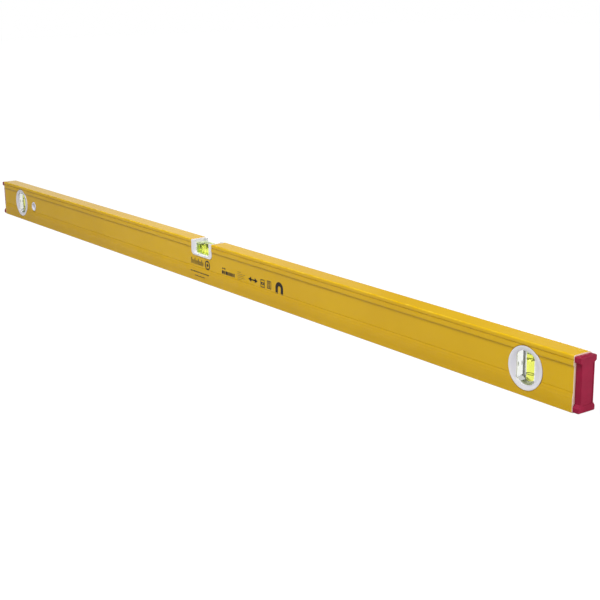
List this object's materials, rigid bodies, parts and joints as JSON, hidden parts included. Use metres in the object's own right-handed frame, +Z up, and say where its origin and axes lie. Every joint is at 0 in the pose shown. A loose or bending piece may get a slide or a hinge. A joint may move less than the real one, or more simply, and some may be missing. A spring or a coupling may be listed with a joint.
{
  "type": "magnetic spirit level",
  "caption": "Long yellow box-section spirit level with a level vial in a top notch, a plumb vial near each end, crimson end caps, a hanging hole and magnets in the sole.",
  "frame": {"origin": "on the sole, under the middle of the level", "axes": "+X along the level's length, to the end cap that the picture shows nearest; -Y is the printed front; +Z up"},
  "size_m": [1.2, 0.021, 0.051],
  "materials": {
    "powder_coat": "satin yellow powder coat on aluminium",
    "cap_plastic": "fine-textured crimson plastic",
    "housing_plastic": "semi-gloss white plastic",
    "clear_acrylic": "polished clear acrylic",
    "green_acrylic": "polished acrylic with a green tint",
    "vial_liquid": "clear yellow-green liquid",
    "vial_bubble": "air bubble in the liquid",
    "stopper_plastic": "translucent green plastic",
    "ring_black": "black ring",
    "set_resin": "set grey-green resin",
    "magnet_nickel": "nickel-plated magnet"
  },
  "bodies": {
    "level": {"profile": "powder_coat", "left_end_cap": "cap_plastic", "right_end_cap": "cap_plastic", "hang_bush_front": "housing_plastic", "hang_bush_back": "housing_plastic", "centre_housing_front": "housing_plastic", "centre_housing_back": "housing_plastic", "left_plumb_housing_front": "housing_plastic", "left_plumb_housing_back": "housing_plastic", "right_plumb_housing_front": "housing_plastic", "right_plumb_housing_back": "housing_plastic", "left_resin_bed": "set_resin", "right_resin_bed": "set_resin", "left_vial_block": "clear_acrylic", "left_vial_stopper": "stopper_plastic", "left_index_ring_a": "ring_black", "left_index_ring_b": "ring_black", "left_liquid": "vial_liquid", "right_vial_block": "clear_acrylic", "right_vial_stopper": "stopper_plastic", "right_index_ring_a": "ring_black", "right_index_ring_b": "ring_black", "right_liquid": "vial_liquid", "centre_vial_block": "green_acrylic", "centre_vial_stopper": "stopper_plastic", "centre_index_ring_a": "ring_black", "centre_index_ring_b": "ring_black", "centre_liquid": "vial_liquid", "magnet_1": "magnet_nickel", "magnet_2": "magnet_nickel", "magnet_3": "magnet_nickel", "magnet_4": "magnet_nickel", "magnet_5": "magnet_nickel", "magnet_6": "magnet_nickel"},
    "centre_bubble": {"centre_bubble": "vial_bubble"},
    "left_bubble": {"left_bubble": "vial_bubble"},
    "right_bubble": {"right_bubble": "vial_bubble"}
  },
  "joints": [
    {"name": "centre_bubble_slide", "type": "slide", "parent": "level", "child": "centre_bubble", "axis": [1, 0, 0], "range_m": [-0.0068, 0.0068], "stiffness_N_per_m": 5, "deforming": ["centre_liquid"]},
    {"name": "left_bubble_slide", "type": "slide", "parent": "level", "child": "left_bubble", "axis": [0, 0, 1], "range_m": [-0.016, 0], "stiffness_N_per_m": 5, "springref_m": 0.01, "deforming": ["left_liquid"]},
    {"name": "right_bubble_slide", "type": "slide", "parent": "level", "child": "right_bubble", "axis": [0, 0, 1], "range_m": [-0.016, 0], "stiffness_N_per_m": 5, "springref_m": 0.01, "deforming": ["right_liquid"]}
  ]
}
